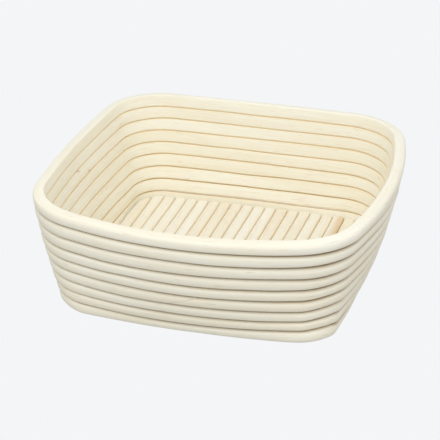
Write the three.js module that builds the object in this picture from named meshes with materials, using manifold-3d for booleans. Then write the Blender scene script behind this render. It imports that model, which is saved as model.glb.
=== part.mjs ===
// A four-sided proofing basket (banneton) of round peeled rattan cane.
// One cane is coiled nine times to make the wall, straight canes lie side by side as the floor, and wooden
// battens under the floor tie its canes together and are the feet. Wire pins join the turns to each other.
// Units are millimetres, +Z is up, and the origin is the middle of the plane that the battens stand on.
import * as THREE from "three";
import { mergeVertices } from "three/addons/utils/BufferGeometryUtils.js";
import Module from "manifold-3d";

// ---------- driving dimensions ----------

const CLEARANCE = 0.3; // left between pieces that touch
const PITCH = 9.5; // from one turn of the coil to the next, measured along the wall
const CANE_RADIUS = (PITCH - CLEARANCE) / 2;
const TURNS = 9;

// The four sides in the order that a counterclockwise walk meets them, seen from above. facing is the way out
// of the basket, reach goes from its middle to the rim cane's middle, and bowRadius is the side's long shallow
// curve at the rim. straightens is the share of that curve that is gone at the foot. cornerRadius is the corner
// after the side, and cornerShrink is how many millimetres it loses for each one that the wall leans in. The
// sides differ a little because the cane is bent by hand.
const SIDES = [
  { facing: [1, 0], reach: 120.2, bowRadius: 360, straightens: 0.7, cornerRadius: 47, cornerShrink: 0.82 },
  { facing: [0, 1], reach: 124.4, bowRadius: 2500, straightens: 0, cornerRadius: 40, cornerShrink: 0.82 },
  { facing: [-1, 0], reach: 120.2, bowRadius: 825, straightens: 0.5, cornerRadius: 53, cornerShrink: 1 },
  { facing: [0, -1], reach: 124.4, bowRadius: 245, straightens: 0.5, cornerRadius: 47, cornerShrink: 1.2 },
];
const [RIGHT, , LEFT] = SIDES;
const LEAN = { rim: 8.3, foot: 22.7 }; // degrees that the wall tips outwards from the vertical
const FOOT_ONSET = 4; // the higher, the nearer to the foot the sides do their straightening
const FOOT_SPREAD = 1; // added to the wall's height near the foot, where its turns come to lie more upright

// A batten's offset is from the basket's middle, and its recess from the wall's outside.
const BATTEN = { width: 20, thickness: 4, offset: 52, recess: 9 };
const FLOOR_CANES = 21;
const FLOOR_DROP = 1.2; // the floor canes' middles lie this far below the middle of the lowest turn

// Bite is how far a pin goes past the middle of its first and last turn, and a nail past its batten.
const PIN = { radius: 0.7, bite: 2.6 };
const NAIL = {
  headRadius: 1.8,
  headThickness: 0.6,
  shankRadius: 0.7,
  pointLength: 1.6,
  bite: 5.2,
  sunk: 0.5,
};
const HOLE_SPARE = 0.1; // added to the clearance round pins and nails

// The mesh's fineness.
const SIDE_STEPS = 6;
const CORNER_STEPS = 5;
const CANE_FACETS = 8;
const WIRE_FACETS = 6;
const BATTEN_END_STEPS = 6;

// The coil's places. A station is one step along it, counted down from the rim, and each turn starts with the
// right side, where the cane drops from one turn to the next.
const TURN_STATIONS = 4 * (SIDE_STEPS + CORNER_STEPS);
const FIRST_STATION = 2; // the rim cane's thin end
const LAST_STATION = TURNS * TURN_STATIONS + SIDE_STEPS - 2; // the lowest cane's thin end
const SPLICES = [2.57, 5.81]; // in turns from the start of the rim, where one length of cane follows another
const SPLICE_GAP = 0.02; // in stations
const PINS_IN_ROW = 3;
const PIN_ROWS = [0, 2, 4, 6]; // the highest turn that each row of pins enters
const PIN_START = 0.2; // the first row's place within each pin's share of the turn
const PIN_STAGGER = 0.2; // how much further round each row lies than the row above, as a share of the same

// ---------- looks ----------

const caneLook = () => new THREE.MeshStandardMaterial({ color: 0xefe7cc, roughness: 0.55, metalness: 0 });
const floorCaneLook = () => new THREE.MeshStandardMaterial({ color: 0xeadfbd, roughness: 0.6, metalness: 0 });
const battenLook = () => new THREE.MeshStandardMaterial({ color: 0xd9bf93, roughness: 0.65, metalness: 0 });
const steelLook = () => new THREE.MeshStandardMaterial({ color: 0x9a9b9c, roughness: 0.35, metalness: 1 });

// ---------- solids ----------

const wasm = await Module();
wasm.setup();

function solidOf(geometry) {
  const bare = geometry.clone();
  bare.deleteAttribute("normal");
  bare.deleteAttribute("uv");
  const merged = mergeVertices(bare, 1e-4);
  return new wasm.Manifold(
    new wasm.Mesh({
      numProp: 3,
      vertProperties: merged.getAttribute("position").array,
      triVerts: new Uint32Array(merged.index.array),
    }),
  );
}

function geometryOf(solid) {
  const { vertProperties, triVerts } = solid.getMesh();
  const geometry = new THREE.BufferGeometry();
  geometry.setAttribute("position", new THREE.BufferAttribute(vertProperties, 3));
  geometry.setIndex(new THREE.BufferAttribute(triVerts, 1));
  geometry.computeVertexNormals();
  return geometry;
}

// The geometry with every hole of the list cut out of it.
function drilled(geometry, holes) {
  return geometryOf(holes.reduce((left, hole) => left.subtract(solidOf(hole)), solidOf(geometry)));
}

// A round bar from one point to another.
function bar(from, to, radius, facets) {
  const along = to.clone().sub(from);
  const geometry = new THREE.CylinderGeometry(radius, radius, along.length(), facets);
  const upright = new THREE.Vector3(0, 1, 0);
  geometry.applyQuaternion(new THREE.Quaternion().setFromUnitVectors(upright, along.clone().normalize()));
  geometry.translate(...from.clone().lerp(to, 0.5));
  return geometry;
}

const group = new THREE.Group();

function place(name, geometry, material) {
  const mesh = new THREE.Mesh(geometry, material);
  mesh.name = name;
  group.add(mesh);
}

const numbered = (name, index) => `${name}_${String(index + 1).padStart(2, "0")}`;

// ---------- the wall's shape ----------

const LOWEST = TURNS - 1; // levels count turns down from the rim, which is level 0

// How much of the foot's straighter shape a level has, from 0 at the rim to 1 at the lowest turn.
const footShare = (level) => (THREE.MathUtils.clamp(level, 0, LOWEST) / LOWEST) ** FOOT_ONSET;

// How far the wall leans in and drops from the rim to a level: an arc that flattens evenly on its way down.
function fallAt(level) {
  const start = THREE.MathUtils.degToRad(LEAN.rim);
  const bend = (THREE.MathUtils.degToRad(LEAN.foot) - start) / LOWEST;
  const end = start + bend * level;
  return {
    inward: (PITCH / bend) * (Math.cos(start) - Math.cos(end)),
    drop: (PITCH / bend) * (Math.sin(end) - Math.sin(start)) + FOOT_SPREAD * footShare(level),
  };
}

// The floor canes fill the room inside the lowest turn.
const insideOf = (side) => side.reach - fallAt(LOWEST).inward - CANE_RADIUS - CLEARANCE;
const FLOOR_LEFT = -insideOf(LEFT);
const FLOOR_PITCH = (insideOf(RIGHT) + insideOf(LEFT)) / FLOOR_CANES;
const FLOOR_CANE_RADIUS = (FLOOR_PITCH - CLEARANCE) / 2;

// Height of a turn's middle above the plane that the battens stand on.
const LOWEST_HEIGHT = BATTEN.thickness + CLEARANCE + FLOOR_CANE_RADIUS + FLOOR_DROP;
const heightAt = (level) => LOWEST_HEIGHT + fallAt(LOWEST).drop - fallAt(level).drop;

// Middle of the circle of a given radius that touches two larger circles from inside, on their outer side.
function nestle(first, second, radius) {
  const between = second.middle.clone().sub(first.middle);
  const span = between.length();
  const toFirst = first.radius - radius;
  const toSecond = second.radius - radius;
  const along = (toFirst ** 2 - toSecond ** 2 + span ** 2) / (2 * span);
  const across = Math.sqrt(toFirst ** 2 - along ** 2);
  between.divideScalar(span);
  const outward = new THREE.Vector2(between.y, -between.x);
  if (outward.dot(first.facing.clone().add(second.facing)) < 0) outward.negate();
  return first.middle.clone().addScaledVector(between, along).addScaledVector(outward, across);
}

// The coil's outline at a level, grown by some millimetres: four bowed sides, each followed by its corner.
function outlineAt(level, grow = 0) {
  const { inward } = fallAt(level);
  const sides = SIDES.map(({ facing, reach, bowRadius, straightens }) => {
    const outward = new THREE.Vector2(...facing);
    const bow = bowRadius / (1 - straightens * footShare(level));
    const middle = outward.clone().multiplyScalar(reach - inward - bow);
    return { facing: outward, middle, radius: bow + grow };
  });
  const corners = sides.map((side, i) => {
    const { cornerRadius, cornerShrink } = SIDES[i];
    const radius = cornerRadius - cornerShrink * inward + grow;
    return { middle: nestle(side, sides[(i + 1) % 4], radius), radius };
  });
  const joint = (circle, corner) => corner.middle.clone().sub(circle.middle).angle();
  return sides.flatMap((side, i) => {
    const start = joint(side, corners[(i + 3) % 4]);
    const end = joint(side, corners[i]);
    const cornerEnd = joint(sides[(i + 1) % 4], corners[i]);
    return [
      { ...side, start, sweep: turnBetween(start, end), steps: SIDE_STEPS },
      { ...corners[i], start: end, sweep: turnBetween(end, cornerEnd), steps: CORNER_STEPS },
    ];
  });
}

// The counterclockwise angle from one direction to another.
function turnBetween(from, to) {
  return THREE.MathUtils.euclideanModulo(to - from, 2 * Math.PI);
}

// The point at a level, some stations round the outline from the start of the right side.
function wallPoint(level, stations) {
  const outline = outlineAt(level);
  let rest = THREE.MathUtils.euclideanModulo(stations, TURN_STATIONS);
  let arc = outline.shift();
  while (rest > arc.steps) {
    rest -= arc.steps;
    arc = outline.shift();
  }
  const angle = arc.start + (arc.sweep * rest) / arc.steps;
  const x = arc.middle.x + arc.radius * Math.cos(angle);
  const y = arc.middle.y + arc.radius * Math.sin(angle);
  return new THREE.Vector3(x, y, heightAt(level));
}

// How far the coil has dropped, in levels, at a station. It drops only along the right side.
function levelOf(station) {
  const turn = Math.floor(station / TURN_STATIONS);
  return turn - 1 + THREE.MathUtils.smoothstep(station - turn * TURN_STATIONS, 0, SIDE_STEPS);
}

// The share of its full radius that the cane has at a station. Its first end fills the wedge over the turn
// that drops from under it, and its last end the wedge below the turn that drops on to it.
function fullness(station) {
  const room = Math.min(levelOf(station) + 1, TURNS - levelOf(station));
  return Math.min((room * PITCH - CLEARANCE) / (2 * CANE_RADIUS), 1);
}

// The middle of the cane. A thin end lies against the plane of the rim or of the foot.
function caneMiddle(station) {
  const thinned = ((1 - fullness(station)) * CANE_RADIUS) / PITCH;
  const level = THREE.MathUtils.clamp(levelOf(station), 0, LOWEST);
  const nearRim = station < TURN_STATIONS;
  return wallPoint(level + (nearRim ? -thinned : thinned), station);
}

class CaneCurve extends THREE.Curve {
  constructor(first, last) {
    super();
    this.first = first;
    this.last = last;
  }

  getPoint(share) {
    return caneMiddle(THREE.MathUtils.lerp(this.first, this.last, share));
  }

  // Even steps are steps of one station, so that each turn's facets lie over those of the next turn.
  getUtoTmapping(share) {
    return share;
  }
}

function polygon(radius, facets) {
  const points = [];
  for (let i = 0; i < facets; i += 1) {
    const angle = ((i + 0.5) / facets) * 2 * Math.PI;
    points.push(new THREE.Vector2(radius * Math.cos(angle), radius * Math.sin(angle)));
  }
  return new THREE.Shape(points);
}

// A length of the wall's cane between two stations.
function caneBetween(first, last) {
  const curve = new CaneCurve(first, last);
  const steps = Math.round(last - first);
  const section = polygon(CANE_RADIUS, CANE_FACETS);
  const geometry = new THREE.ExtrudeGeometry(section, { steps, extrudePath: curve });
  const stations = [];
  for (let i = 0; i <= steps; i += 1) {
    const station = THREE.MathUtils.lerp(first, last, i / steps);
    if (fullness(station) < 1) stations.push(station);
  }
  thinAt(geometry, stations);
  return geometry;
}

// Draws the rings of vertices at the given stations in towards the cane's middle.
function thinAt(geometry, stations) {
  const within = 1.01 * CANE_RADIUS; // just over a ring's own radius, and less than the way to the next ring
  const position = geometry.getAttribute("position");
  const rings = stations.map((station) => ({ middle: caneMiddle(station), share: fullness(station) }));
  const vertex = new THREE.Vector3();
  for (let i = 0; i < position.count; i += 1) {
    vertex.fromBufferAttribute(position, i);
    const ring = rings.find(({ middle }) => middle.distanceTo(vertex) < within);
    if (!ring) continue;
    vertex.sub(ring.middle).multiplyScalar(ring.share).add(ring.middle);
    position.setXYZ(i, ...vertex);
  }
}

// ---------- wall pins ----------

// Pins are spread over the turn except along the right side, where one turn drops to the next.
const PIN_SPACING = (TURN_STATIONS - SIDE_STEPS) / PINS_IN_ROW;

// A pin ties three turns: it starts inside the highest, goes through the next and ends inside the third.
function wallPin(highest, station) {
  const top = wallPoint(highest, station);
  const foot = wallPoint(highest + 2, station);
  const along = foot.clone().sub(top).normalize();
  return { top: top.addScaledVector(along, -PIN.bite), foot: foot.addScaledVector(along, PIN.bite), along };
}

const wallPins = [];
PIN_ROWS.forEach((highest, row) => {
  for (let i = 0; i < PINS_IN_ROW; i += 1) {
    wallPins.push(wallPin(highest, SIDE_STEPS + PIN_SPACING * (i + PIN_START + PIN_STAGGER * row)));
  }
});

const HOLE_CLEARANCE = CLEARANCE / Math.cos(Math.PI / WIRE_FACETS) + HOLE_SPARE;

function pinHole({ top, foot, along }) {
  const from = top.clone().addScaledVector(along, -CLEARANCE);
  const to = foot.clone().addScaledVector(along, CLEARANCE);
  return bar(from, to, PIN.radius + HOLE_CLEARANCE, WIRE_FACETS);
}

// ---------- floor ----------

const FLOOR_HEIGHT = LOWEST_HEIGHT - FLOOR_DROP;
const floorCaneX = (index) => FLOOR_LEFT + (index + 0.5) * FLOOR_PITCH;

// The room inside the lowest turn as an upright prism, which trims the floor canes' ends to the wall's curve.
function footRoom() {
  const shape = new THREE.Shape();
  for (const { middle, radius, start, sweep } of outlineAt(LOWEST, -CANE_RADIUS - CLEARANCE)) {
    shape.absarc(middle.x, middle.y, radius, start, start + sweep);
  }
  return new THREE.ExtrudeGeometry(shape, {
    depth: LOWEST_HEIGHT + CANE_RADIUS,
    bevelEnabled: false,
    curveSegments: SIDE_STEPS,
  });
}

function floorCane(index, holes) {
  const x = floorCaneX(index);
  const far = 2 * RIGHT.reach;
  const front = new THREE.Vector3(x, -far, FLOOR_HEIGHT);
  const rear = new THREE.Vector3(x, far, FLOOR_HEIGHT);
  const cane = solidOf(bar(front, rear, FLOOR_CANE_RADIUS, CANE_FACETS)).intersect(solidOf(footRoom()));
  return drilled(geometryOf(cane), holes);
}

// ---------- battens and their nails ----------

const battens = [
  { name: "cross_batten_front", y: -BATTEN.offset },
  { name: "cross_batten_rear", y: BATTEN.offset },
];
const BATTEN_REACH = RIGHT.reach - fallAt(LOWEST).inward + CANE_RADIUS - BATTEN.recess;

// A strip with rounded ends.
function battenShape(y) {
  const radius = BATTEN.width / 2;
  const shape = new THREE.Shape();
  shape.absarc(BATTEN_REACH - radius, y, radius, -Math.PI / 2, Math.PI / 2);
  shape.absarc(radius - BATTEN_REACH, y, radius, Math.PI / 2, 1.5 * Math.PI);
  return shape;
}

// A nail from below, or its hole when it is grown by some clearance. It stands on its head at z = 0.
function nailGeometry(length, grow = 0) {
  const profile = [
    new THREE.Vector2(0, -grow),
    new THREE.Vector2(NAIL.headRadius + grow, -grow),
    new THREE.Vector2(NAIL.headRadius + grow, NAIL.headThickness + grow),
    new THREE.Vector2(NAIL.shankRadius + grow, NAIL.headThickness + grow),
    new THREE.Vector2(NAIL.shankRadius + grow, length - NAIL.pointLength + grow),
    new THREE.Vector2(0, length + grow),
  ];
  const geometry = new THREE.LatheGeometry(profile, WIRE_FACETS);
  geometry.rotateX(Math.PI / 2);
  return geometry;
}

// Every floor cane is nailed to a batten, the odd ones to the front batten and the even ones to the rear one.
const NAIL_LENGTH = BATTEN.thickness + NAIL.bite;
const nails = [];
for (let i = 0; i < FLOOR_CANES; i += 1) {
  nails.push({ x: floorCaneX(i), y: battens[i % 2].y, cane: i });
}

function nailSolid(nail, grow) {
  const geometry = nailGeometry(NAIL_LENGTH, grow);
  geometry.translate(nail.x, nail.y, NAIL.sunk);
  return geometry;
}

// The hole runs out through the batten's underside, over the sunk head.
function nailHole(nail) {
  const wide = NAIL.headRadius + HOLE_CLEARANCE;
  const mouth = bar(
    new THREE.Vector3(nail.x, nail.y, -1),
    new THREE.Vector3(nail.x, nail.y, NAIL.sunk + CLEARANCE),
    wide,
    WIRE_FACETS,
  );
  return geometryOf(solidOf(mouth).add(solidOf(nailSolid(nail, HOLE_CLEARANCE))));
}

// ---------- assembly ----------

const [upperSplice, lowerSplice] = SPLICES.map((turns) => Math.round(turns * TURN_STATIONS));
const wallLengths = [
  { name: "wall_cane_upper", first: FIRST_STATION, last: upperSplice },
  { name: "wall_cane_middle", first: upperSplice + SPLICE_GAP, last: lowerSplice },
  { name: "wall_cane_lower", first: lowerSplice + SPLICE_GAP, last: LAST_STATION },
];
const pinHoles = wallPins.map(pinHole);
for (const { name, first, last } of wallLengths) {
  place(name, drilled(caneBetween(first, last), pinHoles), caneLook());
}
wallPins.forEach(({ top, foot }, i) => {
  place(numbered("wall_pin", i), bar(top, foot, PIN.radius, WIRE_FACETS), steelLook());
});

for (let i = 0; i < FLOOR_CANES; i += 1) {
  const holes = nails.filter((nail) => nail.cane === i).map(nailHole);
  place(numbered("floor_cane", i), floorCane(i, holes), floorCaneLook());
}

for (const { name, y } of battens) {
  const blank = new THREE.ExtrudeGeometry(battenShape(y), {
    depth: BATTEN.thickness,
    bevelEnabled: false,
    curveSegments: BATTEN_END_STEPS,
  });
  place(name, drilled(blank, nails.filter((nail) => nail.y === y).map(nailHole)), battenLook());
}
nails.forEach((nail, i) => place(numbered("batten_nail", i), nailSolid(nail, 0), steelLook()));

export default group;
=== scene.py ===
"""Looks for a four-sided proofing basket (banneton) of peeled rattan cane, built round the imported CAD.

The wall is one cane coiled nine times, in three lengths. The floor is straight canes side by side on two
wooden battens. Everything is in metres and in the CAD's frame: +Z up, +Y to the rear, +X to the right, and
the origin on the plane that the battens stand on.

A station is one step along the coil, counted down from the rim. Each turn has TURN_STATIONS of them and
starts with the right side, where the cane drops to the next turn. A level counts turns down from the rim.
"""
import math
from functools import lru_cache

import bmesh
import bpy
import numpy as np
from mathutils import Matrix, Vector


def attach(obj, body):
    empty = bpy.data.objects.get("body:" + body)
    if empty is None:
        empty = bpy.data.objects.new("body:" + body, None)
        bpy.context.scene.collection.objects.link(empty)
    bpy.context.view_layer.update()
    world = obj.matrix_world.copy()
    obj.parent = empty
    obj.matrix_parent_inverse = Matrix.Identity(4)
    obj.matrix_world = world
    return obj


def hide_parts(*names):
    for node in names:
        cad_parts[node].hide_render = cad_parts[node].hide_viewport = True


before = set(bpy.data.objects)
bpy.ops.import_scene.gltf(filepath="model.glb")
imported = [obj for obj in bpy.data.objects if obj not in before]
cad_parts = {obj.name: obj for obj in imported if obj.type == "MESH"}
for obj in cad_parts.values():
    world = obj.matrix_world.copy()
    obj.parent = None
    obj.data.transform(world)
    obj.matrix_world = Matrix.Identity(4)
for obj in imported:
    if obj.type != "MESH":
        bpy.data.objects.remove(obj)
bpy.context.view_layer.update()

# ---------- the CAD model's driving dimensions, in metres ----------

MM = 0.001
CLEARANCE = 0.3 * MM
PITCH = 9.5 * MM
CANE_RADIUS = (PITCH - CLEARANCE) / 2
TURNS = 9
LOWEST = TURNS - 1

SIDE_REACH = 120.2 * MM  # of the left and right sides
END_REACH = 124.4 * MM  # of the front and the rear
# The four sides in the order of a counterclockwise walk: way out, reach, bow radius at the rim, the share
# of the bow that is gone at the foot, then the next corner's radius and how much of it is lost for each
# metre that the wall leans in.
SIDES = (
    ((1, 0), SIDE_REACH, 360 * MM, 0.7, 47 * MM, 0.82),
    ((0, 1), END_REACH, 2500 * MM, 0.0, 40 * MM, 0.82),
    ((-1, 0), SIDE_REACH, 825 * MM, 0.5, 53 * MM, 1.0),
    ((0, -1), END_REACH, 245 * MM, 0.5, 47 * MM, 1.2),
)
FOOT_ONSET = 4  # the higher, the nearer to the foot the sides do their straightening
FOOT_SPREAD = 1 * MM  # added to the wall's height near the foot
RIM_LEAN = math.radians(8.3)
FOOT_LEAN = math.radians(22.7)
BEND = (FOOT_LEAN - RIM_LEAN) / LOWEST  # for each level

SIDE_STEPS = 6
CORNER_STEPS = 5
TURN_STATIONS = 4 * (SIDE_STEPS + CORNER_STEPS)
FIRST_STATION = 2
LAST_STATION = TURNS * TURN_STATIONS + SIDE_STEPS - 2
UPPER_SPLICE = round(2.57 * TURN_STATIONS)
LOWER_SPLICE = round(5.81 * TURN_STATIONS)

FLOOR_CANES = 21
FLOOR_DROP = 1.2 * MM
BATTEN_WIDTH = 20 * MM
BATTEN_THICKNESS = 4 * MM
BATTEN_OFFSET = 52 * MM  # from the middle of the basket to either batten's
BATTEN_RECESS = 9 * MM  # from the wall's outside to a batten's end
NAIL_SUNK = 0.5 * MM
NAIL_LENGTH = 9.2 * MM


def smoothstep(value, low, high):
    share = min(max((value - low) / (high - low), 0), 1)
    return share * share * (3 - 2 * share)


# ---------- the wall's shape, as in the CAD ----------


def foot_share(level):
    """How much of the foot's straighter shape a level has."""
    return (min(max(level, 0), LOWEST) / LOWEST) ** FOOT_ONSET


def fall_at(level):
    """How far the wall leans in and drops from the rim to a level."""
    end = RIM_LEAN + BEND * level
    inward = (PITCH / BEND) * (math.cos(RIM_LEAN) - math.cos(end))
    drop = (PITCH / BEND) * (math.sin(end) - math.sin(RIM_LEAN)) + FOOT_SPREAD * foot_share(level)
    return inward, drop


FOOT_REACH = SIDE_REACH - fall_at(LOWEST)[0]
FLOOR_ROOM = FOOT_REACH - CANE_RADIUS - CLEARANCE
FLOOR_PITCH = 2 * FLOOR_ROOM / FLOOR_CANES
FLOOR_CANE_RADIUS = (FLOOR_PITCH - CLEARANCE) / 2
LOWEST_HEIGHT = BATTEN_THICKNESS + CLEARANCE + FLOOR_CANE_RADIUS + FLOOR_DROP
FLOOR_HEIGHT = LOWEST_HEIGHT - FLOOR_DROP


def height_at(level):
    return LOWEST_HEIGHT + fall_at(LOWEST)[1] - fall_at(level)[1]


def nestle(first, second, radius):
    """Middle of a circle that touches two larger circles from inside, on their outer side."""
    (ax, ay, a_radius, a_facing), (bx, by, b_radius, b_facing) = first, second
    span = math.hypot(bx - ax, by - ay)
    ux, uy = (bx - ax) / span, (by - ay) / span
    to_first = a_radius - radius
    to_second = b_radius - radius
    along = (to_first**2 - to_second**2 + span**2) / (2 * span)
    across = math.sqrt(to_first**2 - along**2)
    out_x, out_y = uy, -ux
    if out_x * (a_facing[0] + b_facing[0]) + out_y * (a_facing[1] + b_facing[1]) < 0:
        out_x, out_y = -out_x, -out_y
    return ax + ux * along + out_x * across, ay + uy * along + out_y * across


@lru_cache(maxsize=4096)
def outline_at(level, grow=0.0):
    """The coil's outline at a level: its sides and corners as arcs (x, y, radius, start, sweep, steps)."""
    inward = fall_at(level)[0]
    sides = []
    for facing, reach, rim_bow, straightens, _, _ in SIDES:
        bow = rim_bow / (1 - straightens * foot_share(level))
        away = reach - inward - bow
        sides.append((facing[0] * away, facing[1] * away, bow + grow, facing))
    corners = []
    for i in range(4):
        radius = SIDES[i][4] - SIDES[i][5] * inward + grow
        corners.append((*nestle(sides[i], sides[(i + 1) % 4], radius), radius))
    arcs = []
    for i, (x, y, radius, _) in enumerate(sides):
        before, after, following = corners[i - 1], corners[i], sides[(i + 1) % 4]
        start = math.atan2(before[1] - y, before[0] - x)
        end = math.atan2(after[1] - y, after[0] - x)
        corner_end = math.atan2(after[1] - following[1], after[0] - following[0])
        arcs.append((x, y, radius, start, (end - start) % math.tau, SIDE_STEPS))
        arcs.append((*after, end, (corner_end - end) % math.tau, CORNER_STEPS))
    return arcs


def wall_point(level, station):
    rest = station % TURN_STATIONS
    for x, y, radius, start, sweep, steps in outline_at(level):
        if rest <= steps:
            break
        rest -= steps
    angle = start + sweep * rest / steps
    return np.array((x + radius * math.cos(angle), y + radius * math.sin(angle), height_at(level)))


def level_of(station):
    """The level of the cane's middle. It drops along the right side and is even along the rest of a turn."""
    turn = math.floor(station / TURN_STATIONS)
    return turn - 1 + smoothstep(station - turn * TURN_STATIONS, 0, SIDE_STEPS)


# How far the underside of the lowest turn hangs below its even place, in levels: (share of a turn from the
# right side, sag). The cane is thinner along the front, and hangs a little at the right.
FOOT_SAG = (
    (0.55, 0.0),
    (0.64, -0.25),
    (0.69, -0.4),
    (0.73, -0.25),
    (0.77, -0.32),
    (0.80, -0.4),
    (0.825, -0.38),
    (0.85, -0.26),
    (0.88, -0.14),
    (0.92, -0.16),
    (0.96, -0.14),
    (1.0, 0.02),
    (1.02, 0.12),
    (1.1, 0.12),
)


def foot_sag(station):
    turns = (station - LOWEST * TURN_STATIONS) / TURN_STATIONS
    places, sags = zip(*FOOT_SAG)
    return float(np.interp(turns, places, sags, left=0))


def edges_of(station):
    """Levels of the cane's upper and lower edge. Its thin ends stop at the rim's and the foot's planes."""
    level = level_of(station)
    return max(level - 0.5, -0.5), min(level + 0.5, LOWEST + 0.5) + foot_sag(station)


def cane_middle(station):
    return wall_point(sum(edges_of(station)) / 2, station)


# ---------- hand-made unevenness ----------

rng = np.random.default_rng(733)

GRID = np.arange(-0.5, LAST_STATION + 1, 0.25)
PATH = np.array([cane_middle(station) for station in GRID])
LENGTHS = np.concatenate(([0], np.cumsum(np.linalg.norm(np.diff(PATH, axis=0), axis=1))))


def length_at(station):
    """Metres along the coil."""
    return np.interp(station, GRID, LENGTHS)


def uneven(total, near, far, size):
    """A function of length with a kink every few centimetres, as peeled cane has where its joints were."""
    knots = np.cumsum(rng.uniform(near, far, int(total / near) + 3)) - far
    values = rng.normal(0, size, len(knots))
    return lambda length: np.interp(length, knots, values)


COIL_LENGTH = LENGTHS[-1]
kinks = uneven(COIL_LENGTH, 14 * MM, 40 * MM, 0.16 * MM)
swells = uneven(COIL_LENGTH, 70 * MM, 130 * MM, 0.17 * MM)
sway = uneven(COIL_LENGTH, 30 * MM, 80 * MM, 0.16 * MM)
fatness = uneven(COIL_LENGTH, 40 * MM, 120 * MM, 0.012)

# How far the seams of the front lie below their even places, from the rim down, and how much of that each
# part of a turn has: (share of a turn from the right side, weight). The lower seams rise more at the front
# right corner.
FRONT_DRIFT = (-0.6 * MM, -0.2 * MM, 0.6 * MM, 0.5 * MM, 0.1 * MM, -0.1 * MM, -0.7 * MM, -2.0 * MM)
FRONT_WEIGHTS = ((0.58, 0), (0.7, 1), (0.92, 1), (1.0, 0))
CORNER_RISE = 1.3 * MM
CORNER_WEIGHTS = ((0.9, 0), (0.94, 1), (0.97, 1), (1.0, 0))


def front_drift(station):
    """How far the front's drift and the corner's rise take the seam below a station's cane."""
    turn = min(int(station // TURN_STATIONS), len(FRONT_DRIFT) - 1)
    share = station / TURN_STATIONS % 1
    front = np.interp(share, *zip(*FRONT_WEIGHTS))
    corner = np.interp(share, *zip(*CORNER_WEIGHTS))
    return FRONT_DRIFT[turn] * front - CORNER_RISE * corner * smoothstep(turn, 2, 5)


def seam_shift(station):
    """How far the seam under the cane lies below its even place. The turns share their seams."""
    if station >= LAST_STATION - TURN_STATIONS:
        return 0.0
    fade = smoothstep(station, FIRST_STATION, FIRST_STATION + 3)
    fade *= 1 - smoothstep(station, LAST_STATION - TURN_STATIONS - 4, LAST_STATION - TURN_STATIONS)
    length = length_at(station)
    return float((kinks(length) + swells(length) + front_drift(station)) * fade)


# ---------- meshes ----------


def mesh_object(name, points, faces, floats=None, vectors=None, sharp=50):
    """A smooth mesh with named values on its vertices, for the materials to read."""
    mesh = bpy.data.meshes.new(name)
    mesh.from_pydata([tuple(point) for point in points], [], faces)
    for label, values in (floats or {}).items():
        layer = mesh.attributes.new(label, "FLOAT", "POINT")
        layer.data.foreach_set("value", np.asarray(values, dtype=np.float32).ravel())
    for label, values in (vectors or {}).items():
        layer = mesh.attributes.new(label, "FLOAT_VECTOR", "POINT")
        layer.data.foreach_set("vector", np.asarray(values, dtype=np.float32).ravel())
    clean = bmesh.new()
    clean.from_mesh(mesh)
    bmesh.ops.remove_doubles(clean, verts=clean.verts, dist=0.002 * MM)
    bmesh.ops.recalc_face_normals(clean, faces=clean.faces)
    clean.to_mesh(mesh)
    clean.free()
    mesh.shade_smooth()
    mesh.set_sharp_from_angle(angle=math.radians(sharp))
    obj = bpy.data.objects.new(name, mesh)
    bpy.context.scene.collection.objects.link(obj)
    return obj


def tube_faces(rings, around):
    faces = []
    for i in range(rings - 1):
        for j in range(around):
            k = (j + 1) % around
            faces.append((i * around + j, i * around + k, (i + 1) * around + k, (i + 1) * around + j))
    faces.append(tuple(range(around - 1, -1, -1)))
    faces.append(tuple(range((rings - 1) * around, rings * around)))
    return faces


def rounded(value, power):
    return np.sign(value) * np.abs(value) ** (2 / power)


def show(obj, material, node):
    """Gives a piece its look and puts it in the place of its CAD node."""
    obj.data.materials.clear()
    obj.data.materials.append(material)
    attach(obj, "root")
    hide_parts(node)


# ---------- wall canes ----------

AROUND = 28  # points on each ring
RING_SPACING = 2.4 * MM
# How square the section is: a power of 2 is round. The mould that a basket is coiled on flattens the
# inside. Outside, the cane is rounder, and towards the front right its grooves are deeper and get more
# painted shade: (share of a turn, power, strength of the painted groove shade).
OUTER_SHAPE = (
    (0.0, 2.5, 1.0),
    (0.25, 2.8, 0.8),
    (0.6, 3.0, 0.7),
    (0.74, 3.0, 0.75),
    (0.84, 2.7, 0.9),
    (0.93, 2.3, 1.15),
    (1.0, 2.5, 1.0),
)
INNER_POWER = 7.5
INNER_FLATTEN = 0.9  # how far the section reaches in, in radii
INNER_PLAIN = 0.68  # share of the inner face's height that has no painted groove shade
SCARF = 13 * MM  # half the length of the slanting cut where two lengths meet
BLUNT_CUT = 0.86  # a slanting cut stops at this share of the radius
FEATHER = 0.995  # the share of half the cane's height where the rim's slice has almost no height left
FOOT_THIN = 0.5  # share of its depth that the lowest cane keeps at its very end

ANGLES = np.arange(AROUND) * math.tau / AROUND
COS, SIN = np.cos(ANGLES), np.sin(ANGLES)
FLATTEN = np.where(COS >= 0, 1, INNER_FLATTEN)


def outer_shape(station):
    """The section's power outside and the strength of the painted shade in its grooves there."""
    shares, powers, colours = zip(*OUTER_SHAPE)
    share = (station / TURN_STATIONS) % 1
    return float(np.interp(share, shares, powers)), float(np.interp(share, shares, colours))


def frame_at(station, middle_level):
    """Middle, the way out through the wall and the way up the wall."""
    step = 0.05
    along = cane_middle(station + step) - cane_middle(station - step)
    along /= np.linalg.norm(along)
    up = wall_point(middle_level - step, station) - wall_point(middle_level + step, station)
    up -= along * np.dot(along, up)
    up /= np.linalg.norm(up)
    return wall_point(middle_level, station), np.cross(along, up), up


def half_widths(height, power):
    """How far the cane's section reaches out and in, in radii, at heights between -1 and 1."""
    height = np.clip(np.abs(height), 0, 1)
    outward = (1 - height**power) ** (1 / power)
    inward = INNER_FLATTEN * (1 - height**INNER_POWER) ** (1 / INNER_POWER)
    return outward, inward


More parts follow.
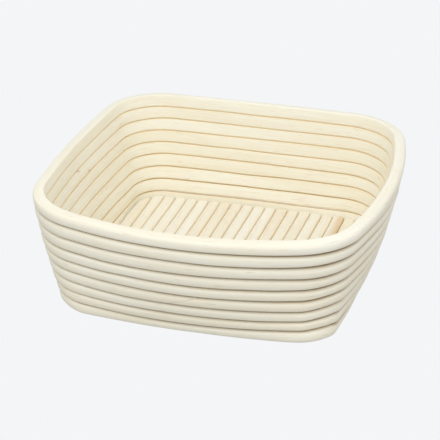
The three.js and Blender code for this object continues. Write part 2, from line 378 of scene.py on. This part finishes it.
def rim_slice(a, b, half, seam, power, through):
    """The part of the section above a seam, with its underside on the seam."""
    outward, inward = half_widths(seam / half, power)
    cut = b < seam
    b = np.where(cut, seam, b)
    a = np.where(cut, np.clip(a, -inward * through, outward * through), a)
    return a, b


def filled_to_rim(a, level, power, through):
    """The section's points moved out and in to where the rim's whole section would be at their levels."""
    outward, inward = half_widths(2 * level, power)
    fuller = np.maximum(a, outward * through)
    deeper = np.minimum(a, -inward * through)
    return np.where(COS >= 0, fuller, deeper)


def slanting_end(a, b, cut, side, half, through):
    """What an end keeps of the section, above (side 1) or below (side -1) a slanting plane."""
    plane = min(cut, BLUNT_CUT) * half
    room = through * math.sqrt(max(1 - min(abs(cut), BLUNT_CUT) ** 2, 0))
    hit = b < plane if side > 0 else -b < plane
    b = np.where(hit, plane * side, b)
    a = np.where(hit, np.clip(a, -room, room), a)
    return a, b


def painted_groove_shade(station, section_out, section_up, groove_shade_weight):
    """How much painted groove shade each point gets, outside and inside. What lies open has none."""
    open_top = 1 - smoothstep(station, TURN_STATIONS + 1, TURN_STATIONS + 4)
    open_foot = smoothstep(station, LAST_STATION - TURN_STATIONS - 2, LAST_STATION - TURN_STATIONS + 2)
    openness = np.where(SIN > 0, open_top, open_foot)
    if station < SIDE_STEPS:
        openness = np.maximum(openness, 1 - smoothstep(station, 2, SIDE_STEPS))
    # Painted shade: the deeper a point lies in the groove between two turns, the more shade colour it gets.
    deep = (1 - np.abs(section_out)) * (1 - openness)
    outer = np.where(COS >= 0, deep, 0) * groove_shade_weight
    tinted = np.clip((np.abs(section_up) - INNER_PLAIN) / (1 - INNER_PLAIN), 0, 1)
    inner = np.where(COS <= 0, tinted * (1 - openness), 0)
    return outer, inner


def wall_ring(station, splices):
    """One ring of the wall cane: its points, the grain's coordinates and the shares of painted shade in its
    grooves.
    """
    upper, lower = edges_of(station)
    above = seam_shift(station - TURN_STATIONS)
    below = seam_shift(station)
    full = (lower - upper) * PITCH
    half = (full + below - above) / 2
    length = length_at(station)
    through = CANE_RADIUS * (1 + float(fatness(length)))
    power, groove_shade_weight = outer_shape(station)
    powers = np.where(COS >= 0, power, INNER_POWER)
    section_out = rounded(COS, powers)
    section_up = rounded(SIN, powers)
    a = section_out * FLATTEN * through
    if station < SIDE_STEPS:
        # The rim's end is a slanting slice of the whole section. It lies on the turn that rises to meet it.
        middle_level = 0.0
        half = PITCH / 2
        seam = max(min(half - full - below, half * FEATHER), -half)
        a, b = rim_slice(a, section_up * half, half, seam, power, through)
        drop = 0.0
    else:
        middle_level = (upper + lower) / 2
        drop = (below + above) / 2
        b = section_up * half
    if TURN_STATIONS < station < TURN_STATIONS + SIDE_STEPS:
        a = filled_to_rim(a, middle_level - (b - drop) / PITCH, power, through)
    if station > LAST_STATION - SIDE_STEPS + 2:
        a = a * (FOOT_THIN + (1 - FOOT_THIN) * min(full / PITCH, 1))
    middle, out, up = frame_at(station, middle_level)
    middle = middle - up * drop + out * float(sway(length))
    for splice, side in splices:
        cut = (length - splice) / SCARF * side
        if cut >= -BLUNT_CUT:
            a, b = slanting_end(a, b, cut, side, half, through)
    points = middle + np.outer(a, out) + np.outer(b, up)
    grain = np.column_stack((np.full(AROUND, length), a, b))
    return points, grain, *painted_groove_shade(station, section_out, section_up, groove_shade_weight)


def stations_between(first, last):
    """Stations whose rings lie evenly along the cane."""
    start, end = length_at(first), length_at(last)
    count = max(int((end - start) / RING_SPACING), 2)
    return np.interp(np.linspace(start, end, count + 1), LENGTHS, GRID)


def wall_cane(name, first=None, last=None, begins_at=None, ends_at=None):
    """A length of the wall cane. Each end is a station, or a splice in metres along the coil."""
    overlap = SCARF * BLUNT_CUT
    splices = []
    if begins_at is not None:
        first = np.interp(begins_at - overlap, LENGTHS, GRID)
        splices.append((begins_at, -1))
    if ends_at is not None:
        last = np.interp(ends_at + overlap, LENGTHS, GRID)
        splices.append((ends_at, 1))
    stations = stations_between(first, last)
    rings = [wall_ring(station, splices_here(station, splices)) for station in stations]
    points, grain, outer, inner = (np.concatenate(part) for part in zip(*rings))
    faces = tube_faces(len(rings), AROUND)
    tone = np.full(len(points), TONES[name])
    # The nook values are painted groove shade for the material to read.
    floats = {"outer_painted_shade": outer, "inner_painted_shade": inner, "tone": tone, "stain": np.zeros(len(points))}
    return mesh_object(name + "_peeled", points, faces, floats, {"grain": grain})


def splices_here(station, splices):
    """The splices whose slanting cut goes through a station's ring."""
    length = length_at(station)
    return [(splice, side) for splice, side in splices if abs(length - splice) <= SCARF]


RIM_FEATHER = 0.7  # the station where the rim's end has thinned to a feather edge
# How pale each length of cane is, from 0 to 1.
TONES = {"wall_cane_upper": 0.62, "wall_cane_middle": 0.5, "wall_cane_lower": 0.42}

upper_splice = float(length_at(UPPER_SPLICE))
lower_splice = float(length_at(LOWER_SPLICE))
wall = {
    "wall_cane_upper": wall_cane("wall_cane_upper", first=RIM_FEATHER, ends_at=upper_splice),
    "wall_cane_middle": wall_cane("wall_cane_middle", begins_at=upper_splice, ends_at=lower_splice),
    "wall_cane_lower": wall_cane("wall_cane_lower", last=LAST_STATION, begins_at=lower_splice),
}

# ---------- floor canes ----------

FLOOR_AROUND = 22
FLOOR_POWER = 4.6
FLOOR_PLAIN = 0.72  # share of a floor cane's width that has no painted shade from its neighbours
FLOOR_SPACING = 3.5 * MM
END_ROUND = 3.4 * MM  # length of the rounding of a floor cane's end
END_BLUNT = 0.3  # share of the full section that is left at the very end
END_RISE = 0.7 * MM  # how far the ends rise, from this far along:
END_RISE_FROM = 10 * MM
WIDEST = FLOOR_ROOM - 1.0 * MM  # the outermost x where the front's and rear's edges are read

FLOOR_ANGLES = np.arange(FLOOR_AROUND) * math.tau / FLOOR_AROUND
FLOOR_ACROSS = rounded(np.cos(FLOOR_ANGLES), FLOOR_POWER)
FLOOR_UP = rounded(np.sin(FLOOR_ANGLES), FLOOR_POWER)
EDGE_STEPS = 40  # points on each arc of the room's outline


def foot_outline():
    """Points round the room inside the lowest turn."""
    points = []
    for x, y, radius, start, sweep, _ in outline_at(LOWEST, -CANE_RADIUS - CLEARANCE):
        for share in np.linspace(0, 1, EDGE_STEPS, endpoint=False):
            angle = start + sweep * share
            points.append((x + radius * math.cos(angle), y + radius * math.sin(angle)))
    return np.array(points)


def edge_table(points, axis):
    """Points sorted along one axis, for reading the other axis off between them."""
    order = np.argsort(points[:, axis])
    return points[order, axis], points[order, 1 - axis]


ROOM = foot_outline()
REAR_EDGE = edge_table(ROOM[ROOM[:, 1] > 0], 0)
FRONT_EDGE = edge_table(ROOM[ROOM[:, 1] < 0], 0)
RIGHT_EDGE = edge_table(ROOM[ROOM[:, 0] > 0], 1)
LEFT_EDGE = edge_table(ROOM[ROOM[:, 0] < 0], 1)

ROOM_LENGTH = 2 * SIDE_REACH
floor_seams = [uneven(ROOM_LENGTH, 20 * MM, 50 * MM, 0.11 * MM) for _ in range(FLOOR_CANES + 1)]
floor_heights = [uneven(ROOM_LENGTH, 50 * MM, 90 * MM, 0.1 * MM) for _ in range(FLOOR_CANES)]
floor_tones = rng.uniform(0.25, 0.85, FLOOR_CANES)
STAINED_CANE = 17  # counted from the left, from 0
GRAIN_SHIFT = 0.731  # metres between the floor canes' places in the grain, so that no two are alike


def floor_seam(index, y):
    """x of the seam before a floor cane."""
    x = -FLOOR_ROOM + index * FLOOR_PITCH
    if 0 < index < FLOOR_CANES:
        x = x + floor_seams[index](y + SIDE_REACH)
    return x


def floor_distances(length):
    """Ring places along a floor cane, close together where its ends are rounded."""
    near = END_ROUND * (1 - np.cos(np.linspace(0, math.pi / 2, 6)))
    middle = np.linspace(END_ROUND, length - END_ROUND, max(int(length / FLOOR_SPACING), 4))
    return np.concatenate((near[:-1], middle, (length - near[:-1])[::-1]))


def floor_cane(index):
    """A floor cane's name and its mesh, with rounded ends that follow the lowest turn's inside."""
    name = f"floor_cane_{index + 1:02d}"
    centre = -FLOOR_ROOM + (index + 0.5) * FLOOR_PITCH
    read_at = np.clip(centre, -WIDEST, WIDEST)
    front, rear = (float(np.interp(read_at, *edge)) for edge in (FRONT_EDGE, REAR_EDGE))
    length = rear - front
    points, grain, nook, stain = [], [], [], []
    for distance in floor_distances(length):
        from_end = min(distance, length - distance)
        share = max(1 - from_end / END_ROUND, 0)
        size = END_BLUNT + (1 - END_BLUNT) * math.sqrt(1 - share * share)
        y_middle = front + distance
        left, right = floor_seam(index, y_middle), floor_seam(index + 1, y_middle)
        a = FLOOR_ACROSS * (right - left) / 2 * size
        b = FLOOR_UP * FLOOR_CANE_RADIUS * size
        x = (left + right) / 2 + a
        held = np.clip(x, -WIDEST, WIDEST)
        way = distance / length
        y = np.interp(held, *FRONT_EDGE) * (1 - way) + np.interp(held, *REAR_EDGE) * way
        x = np.clip(x, np.interp(y, *LEFT_EDGE), np.interp(y, *RIGHT_EDGE))
        rise = END_RISE * (1 - smoothstep(from_end, 0, END_RISE_FROM))
        z = FLOOR_HEIGHT + b + rise + floor_heights[index](y_middle + SIDE_REACH)
        points.append(np.column_stack((x, y, z)))
        grain.append(np.column_stack((y + index * GRAIN_SHIFT, a, b)))
        # Painted shade towards the seams, where neighbouring floor canes meet.
        nook.append(np.clip((np.abs(a) / (FLOOR_PITCH / 2) - FLOOR_PLAIN) / (1 - FLOOR_PLAIN), 0, 1))
        stained = 0.0
        if index == STAINED_CANE:
            stained = np.clip(0.45 + 0.75 * a / CANE_RADIUS, 0, 1)
        stain.append(np.zeros(FLOOR_AROUND) + stained)
    rings = len(points)
    points, grain, nook, stain = (np.concatenate(part) for part in (points, grain, nook, stain))
    faces = tube_faces(rings, FLOOR_AROUND)
    floats = {
        "outer_painted_shade": np.zeros(len(points)),
        "inner_painted_shade": nook,
        "tone": np.full(len(points), floor_tones[index]),
        "stain": stain,
    }
    return name, mesh_object(name + "_peeled", points, faces, floats, {"grain": grain})


floor = dict(floor_cane(index) for index in range(FLOOR_CANES))

# ---------- battens and their nails ----------

BATTEN_REACH = FOOT_REACH + CANE_RADIUS - BATTEN_RECESS
BATTEN_EDGE = 0.7 * MM
HEAD_RADIUS = 1.8 * MM
HEAD_THICKNESS = 0.6 * MM
SHANK_RADIUS = 0.7 * MM
POINT_LENGTH = 1.6 * MM
HOLE_ROOM = 0.2 * MM
TURNED = 24  # facets of a nail
BATTEN_END_STEPS = 17

# Every floor cane has a nail, alternately in the front and the rear batten: (name, x, y).
nails = []
for index in range(FLOOR_CANES):
    nail_x = -FLOOR_ROOM + (index + 0.5) * FLOOR_PITCH
    nail_y = -BATTEN_OFFSET if index % 2 == 0 else BATTEN_OFFSET
    nails.append((f"batten_nail_{index + 1:02d}", nail_x, nail_y))


def lathe(name, profile):
    """A turned solid round +Z from (radius, height) pairs that start and end on the axis."""
    points = []
    for radius, height in profile[1:-1]:
        for j in range(TURNED):
            angle = math.tau * j / TURNED
            points.append((radius * math.cos(angle), radius * math.sin(angle), height))
    rings = len(profile) - 2
    faces = tube_faces(rings, TURNED)[:-2]
    foot, tip = len(points), len(points) + 1
    points += [(0, 0, profile[0][1]), (0, 0, profile[-1][1])]
    last = (rings - 1) * TURNED
    for j in range(TURNED):
        k = (j + 1) % TURNED
        faces.append((foot, k, j))
        faces.append((tip, last + j, last + k))
    return mesh_object(name, points, faces, sharp=35)


NAIL_PROFILE = (
    (0, 0.05 * MM),
    (0.9 * MM, 0.08 * MM),
    (1.5 * MM, 0.2 * MM),
    (HEAD_RADIUS, 0.38 * MM),
    (HEAD_RADIUS, HEAD_THICKNESS),
    (SHANK_RADIUS, HEAD_THICKNESS),
    (SHANK_RADIUS, NAIL_LENGTH - POINT_LENGTH),
    (0, NAIL_LENGTH),
)


def nail_hole(nail_x, nail_y):
    """What a nail's hole and the sink for its head take out of a batten, with some to spare past its faces."""
    wide, narrow = HEAD_RADIUS + HOLE_ROOM, SHANK_RADIUS + HOLE_ROOM
    floor_of_sink = NAIL_SUNK + HEAD_THICKNESS + HOLE_ROOM
    profile = (
        (0, -MM),
        (wide, -MM),
        (wide, floor_of_sink),
        (narrow, floor_of_sink),
        (narrow, BATTEN_THICKNESS + MM),
        (0, BATTEN_THICKNESS + MM),
    )
    cutter = lathe("cutter", profile)
    cutter.location = (nail_x, nail_y, 0)
    return cutter


def batten(name, y):
    """A planed strip with rounded ends, eased edges and sunk nail holes."""
    radius = BATTEN_WIDTH / 2
    outline = []
    for middle, start in ((BATTEN_REACH - radius, -math.pi / 2), (radius - BATTEN_REACH, math.pi / 2)):
        for share in np.linspace(0, 1, BATTEN_END_STEPS):
            angle = start + math.pi * share
            outline.append((middle + radius * math.cos(angle), y + radius * math.sin(angle)))
    count = len(outline)
    points = [(px, py, 0) for px, py in outline] + [(px, py, BATTEN_THICKNESS) for px, py in outline]
    faces = [tuple(range(count - 1, -1, -1)), tuple(range(count, 2 * count))]
    for j in range(count):
        k = (j + 1) % count
        faces.append((j, k, count + k, count + j))
    strip = mesh_object(name + "_planed", points, faces)
    bevel = strip.modifiers.new("edge", "BEVEL")
    bevel.width = BATTEN_EDGE
    bevel.segments = 3
    bevel.limit_method = "ANGLE"
    cutters = [nail_hole(nail_x, nail_y) for _, nail_x, nail_y in nails if nail_y == y]
    for cutter in cutters:
        hole = strip.modifiers.new("hole", "BOOLEAN")
        hole.operation = "DIFFERENCE"
        hole.solver = "EXACT"
        hole.object = cutter
    bpy.context.view_layer.update()
    evaluated = strip.evaluated_get(bpy.context.evaluated_depsgraph_get())
    applied = bpy.data.meshes.new_from_object(evaluated)
    strip.modifiers.clear()
    strip.data = applied
    for cutter in cutters:
        bpy.data.objects.remove(cutter)
    strip.data.shade_smooth()
    strip.data.set_sharp_from_angle(angle=math.radians(40))
    spots = np.array([tuple(vertex.co) for vertex in strip.data.vertices])
    grain = strip.data.attributes.new("grain", "FLOAT_VECTOR", "POINT")
    grain.data.foreach_set("vector", (spots + (0, 0, y)).astype(np.float32).ravel())
    return strip


# ---------- materials ----------

# The places of a Mix node's two colours and its colour result. Their names are also those of other sockets.
MIX_FIRST, MIX_SECOND, MIX_RESULT = 6, 7, 2


class Nodes:
    """A short way to build a material's node tree."""

    def __init__(self, name):
        self.material = bpy.data.materials.new(name)
        self.material.use_nodes = True
        self.tree = self.material.node_tree
        self.shader = self.tree.nodes["Principled BSDF"]

    def add(self, kind, inputs=None, **settings):
        node = self.tree.nodes.new(kind)
        for key, value in settings.items():
            setattr(node, key, value)
        for key, value in (inputs or {}).items():
            self.put(value, node.inputs[key])
        return node

    def put(self, value, socket):
        if isinstance(value, bpy.types.NodeSocket):
            self.tree.links.new(value, socket)
        else:
            socket.default_value = value

    def read(self, label, vector=False):
        node = self.add("ShaderNodeAttribute", attribute_name=label)
        return node.outputs["Vector" if vector else "Fac"]

    def noise(self, where, scale, detail=2.0, roughness=0.5, distortion=0.0):
        stretched = self.add("ShaderNodeMapping", {"Vector": where, "Scale": scale})
        inputs = {
            "Vector": stretched.outputs[0],
            "Scale": 1.0,
            "Detail": detail,
            "Roughness": roughness,
            "Distortion": distortion,
        }
        return self.add("ShaderNodeTexNoise", inputs).outputs["Fac"]

    def remap(self, value, low, high, to_low=0.0, to_high=1.0):
        inputs = {"Value": value, "From Min": low, "From Max": high, "To Min": to_low, "To Max": to_high}
        return self.add("ShaderNodeMapRange", inputs, clamp=True).outputs["Result"]

    def math(self, operation, first, second):
        return self.add("ShaderNodeMath", {0: first, 1: second}, operation=operation).outputs[0]

    def mix(self, factor, first, second):
        node = self.add("ShaderNodeMix", data_type="RGBA", blend_type="MIX")
        self.put(factor, node.inputs["Factor"])
        self.put(first, node.inputs[MIX_FIRST])
        self.put(second, node.inputs[MIX_SECOND])
        return node.outputs[MIX_RESULT]

    def bump(self, height, strength, distance):
        inputs = {"Height": height, "Strength": strength, "Distance": distance}
        return self.add("ShaderNodeBump", inputs).outputs["Normal"]


def colour(red, green, blue):
    """A colour of the sRGB scale 0 to 255 as linear light."""
    linear = [
        share / 12.92 if share <= 0.04045 else ((share + 0.055) / 1.055) ** 2.4
        for share in (red / 255, green / 255, blue / 255)
    ]
    return (*linear, 1.0)


FLECK = colour(176, 138, 88)
HAIR = colour(214, 190, 140)
STAIN = colour(208, 166, 104)


def cane_material(name, pale, warm, outer_shade_colour, inner_shade_colour, inner_shade_amount):
    """Peeled rattan: long fibres, soft bands of tone, dark flecks, and painted shade in the grooves between
    the canes.
    """
    n = Nodes(name)
    grain = n.read("grain", vector=True)
    fibres = n.noise(grain, (14, 900, 900), detail=3.0, roughness=0.55)
    hairs = n.noise(grain, (45, 2600, 2600), detail=2.0)
    bands = n.noise(grain, (10, 130, 130), detail=2.0, distortion=0.3)
    flecks = n.noise(grain, (70, 1500, 1500), detail=1.0)
    tone = n.math("ADD", n.remap(bands, 0.3, 0.7, -0.35, 0.35), n.read("tone"))
    tone = n.math("ADD", tone, n.remap(fibres, 0.3, 0.7, -0.3, 0.3))
    base = n.mix(n.remap(tone, 0.0, 1.0), warm, pale)
    base = n.mix(n.remap(flecks, 0.66, 0.76, 0.0, 0.32), base, FLECK)
    base = n.mix(n.remap(hairs, 0.35, 0.65, 0.0, 0.12), base, HAIR)
    # Painted shade and warm bounce light in the grooves: olive brown outside, warm tan inside, as much as the
    # meshes' shares give.
    base = n.mix(n.remap(n.read("outer_painted_shade"), 0.1, 0.75, 0.0, 0.92), base, outer_shade_colour)
    base = n.mix(n.remap(n.read("inner_painted_shade"), 0.0, 1.0, 0.0, inner_shade_amount), base, inner_shade_colour)
    stain = n.math("MULTIPLY", n.read("stain"), n.remap(bands, 0.3, 0.65, 0.45, 1.0))
    base = n.mix(n.remap(stain, 0.0, 1.0, 0.0, 0.75), base, STAIN)
    n.put(base, n.shader.inputs["Base Color"])
    n.put(n.remap(fibres, 0.3, 0.7, 0.5, 0.68), n.shader.inputs["Roughness"])
    height = n.math("ADD", fibres, n.math("MULTIPLY", hairs, 0.5))
    n.put(n.bump(height, 0.35, 0.12 * MM), n.shader.inputs["Normal"])
    n.shader.inputs["Specular IOR Level"].default_value = 0.4
    return n.material


def wood_material(name):
    """Planed softwood with long rings and dark pores."""
    n = Nodes(name)
    grain = n.read("grain", vector=True)
    rings = n.noise(grain, (9, 160, 160), detail=4.0, roughness=0.6, distortion=0.6)
    pores = n.noise(grain, (60, 1600, 1600), detail=2.0)
    base = n.mix(n.remap(rings, 0.3, 0.7), colour(226, 201, 158), colour(205, 172, 124))
    base = n.mix(n.remap(pores, 0.6, 0.72, 0.0, 0.4), base, colour(150, 112, 70))
    n.put(base, n.shader.inputs["Base Color"])
    n.put(n.remap(rings, 0.3, 0.7, 0.55, 0.72), n.shader.inputs["Roughness"])
    n.put(n.bump(n.math("ADD", rings, pores), 0.4, 0.15 * MM), n.shader.inputs["Normal"])
    return n.material


def steel_material(name):
    """Bright drawn wire with fine scratches."""
    n = Nodes(name)
    where = n.add("ShaderNodeTexCoord").outputs["Object"]
    scratches = n.noise(where, (1800, 1800, 300), detail=2.0)
    n.put(n.mix(scratches, colour(168, 168, 168), colour(205, 204, 201)), n.shader.inputs["Base Color"])
    n.put(n.remap(scratches, 0.3, 0.7, 0.28, 0.45), n.shader.inputs["Roughness"])
    n.put(n.bump(scratches, 0.2, 0.03 * MM), n.shader.inputs["Normal"])
    n.shader.inputs["Metallic"].default_value = 1.0
    return n.material


# The two groove colours are painted shade between the turns, olive brown outside and warm tan inside.
wall_look = cane_material(
    "wall_cane",
    pale=colour(244, 242, 229),
    warm=colour(238, 232, 211),
    outer_shade_colour=colour(144, 112, 42),
    inner_shade_colour=colour(232, 204, 148),
    inner_shade_amount=0.6,
)
# The floor canes' inner groove colour is painted shade where neighbouring canes meet.
floor_look = cane_material(
    "floor_cane",
    pale=colour(242, 240, 228),
    warm=colour(236, 228, 207),
    outer_shade_colour=colour(150, 122, 78),
    inner_shade_colour=colour(232, 202, 146),
    inner_shade_amount=0.45,
)
wood_look = wood_material("batten_wood")
steel_look = steel_material("bright_wire")

for node, obj in wall.items():
    show(obj, wall_look, node)
for node, obj in floor.items():
    show(obj, floor_look, node)
for node, y in (("cross_batten_front", -BATTEN_OFFSET), ("cross_batten_rear", BATTEN_OFFSET)):
    show(batten(node, y), wood_look, node)
for node, nail_x, nail_y in nails:
    nail = lathe(node + "_turned", NAIL_PROFILE)
    nail.location = (nail_x, nail_y, NAIL_SUNK)
    show(nail, steel_look, node)
for node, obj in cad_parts.items():
    if node.startswith("wall_pin"):
        obj.data.materials.clear()
        obj.data.materials.append(steel_look)

# ---------- floor, light and camera ----------

BACKDROP = colour(244, 245, 247)  # the floor as the camera sees it
FLOOR_HALF = 6.0
FLOOR_BOUNCE = 0.45  # how much light the floor gives back to the basket
FLOOR_GLOW = 0.14
DAYLIGHT = 0.75
SOFTBOX_SIZE = 1.2
SOFTBOX_AIM = (0, 0, 0.05)


def studio_floor():
    """A plain pale floor that lights the basket softly from below and shows as one even colour."""
    size = FLOOR_HALF
    points = [(-size, -size, 0), (size, -size, 0), (size, size, 0), (-size, size, 0)]
    sheet = mesh_object("studio_floor", points, [(0, 1, 2, 3)])
    n = Nodes("studio_floor")
    n.shader.inputs["Base Color"].default_value = (FLOOR_BOUNCE, FLOOR_BOUNCE, FLOOR_BOUNCE, 1)
    n.shader.inputs["Roughness"].default_value = 0.9
    n.shader.inputs["Specular IOR Level"].default_value = 0.1
    n.shader.inputs["Emission Color"].default_value = (1, 1, 1, 1)
    n.shader.inputs["Emission Strength"].default_value = FLOOR_GLOW
    glow = n.add("ShaderNodeEmission", {"Color": BACKDROP, "Strength": 1.0})
    seen = n.add("ShaderNodeLightPath").outputs["Is Camera Ray"]
    blend = n.add("ShaderNodeMixShader", {0: seen})
    n.put(n.shader.outputs[0], blend.inputs[1])
    n.put(glow.outputs[0], blend.inputs[2])
    n.put(blend.outputs[0], n.tree.nodes["Material Output"].inputs["Surface"])
    sheet.data.materials.append(n.material)


def softbox(name, place, watts):
    light = bpy.data.lights.new(name, "AREA")
    light.shape = "SQUARE"
    light.size = SOFTBOX_SIZE
    light.energy = watts
    obj = bpy.data.objects.new(name, light)
    obj.location = place
    away = Vector(place) - Vector(SOFTBOX_AIM)
    obj.rotation_euler = away.to_track_quat("Z", "Y").to_euler()
    bpy.context.scene.collection.objects.link(obj)


studio_floor()
softbox("overhead", place=(0.0, -0.9, 1.3), watts=11.0)
softbox("right_side", place=(1.6, 0.0, 0.6), watts=2.5)

world = bpy.data.worlds.new("studio")
world.use_nodes = True
world.node_tree.nodes["Background"].inputs["Color"].default_value = (1, 1, 1, 1)
world.node_tree.nodes["Background"].inputs["Strength"].default_value = DAYLIGHT
bpy.context.scene.world = world

AZIMUTH = math.radians(15.53)
ELEVATION = math.radians(24.93)
ROLL = math.radians(0.21)
DISTANCE = 1569.7 * MM
AIM_HEIGHT = 44.7 * MM
SENSOR = 36.0
LENS = 175.65545
SHIFT = (-0.01331818, 0.00172727)  # in widths of the picture
CLIP = (0.05, 50)


def main_camera():
    """The main view's camera: its axis points back from the basket, and right and up turn with the roll."""
    level_back = math.cos(ELEVATION)
    back = Vector((math.sin(AZIMUTH) * level_back, -math.cos(AZIMUTH) * level_back, math.sin(ELEVATION)))
    right = Vector((math.cos(AZIMUTH), math.sin(AZIMUTH), 0))
    up = back.cross(right)
    rolled_right = right * math.cos(ROLL) + up * math.sin(ROLL)
    rolled_up = up * math.cos(ROLL) - right * math.sin(ROLL)
    camera = bpy.data.cameras.new("camera")
    camera.sensor_width = SENSOR
    camera.lens = LENS
    camera.shift_x, camera.shift_y = SHIFT
    camera.clip_start, camera.clip_end = CLIP
    obj = bpy.data.objects.new("camera", camera)
    turn = Matrix((rolled_right, rolled_up, back)).transposed().to_4x4()
    obj.matrix_world = Matrix.Translation(Vector((0, 0, AIM_HEIGHT)) + back * DISTANCE) @ turn
    bpy.context.scene.collection.objects.link(obj)
    bpy.context.scene.camera = obj


main_camera()
bpy.context.scene.view_settings.view_transform = "Standard"
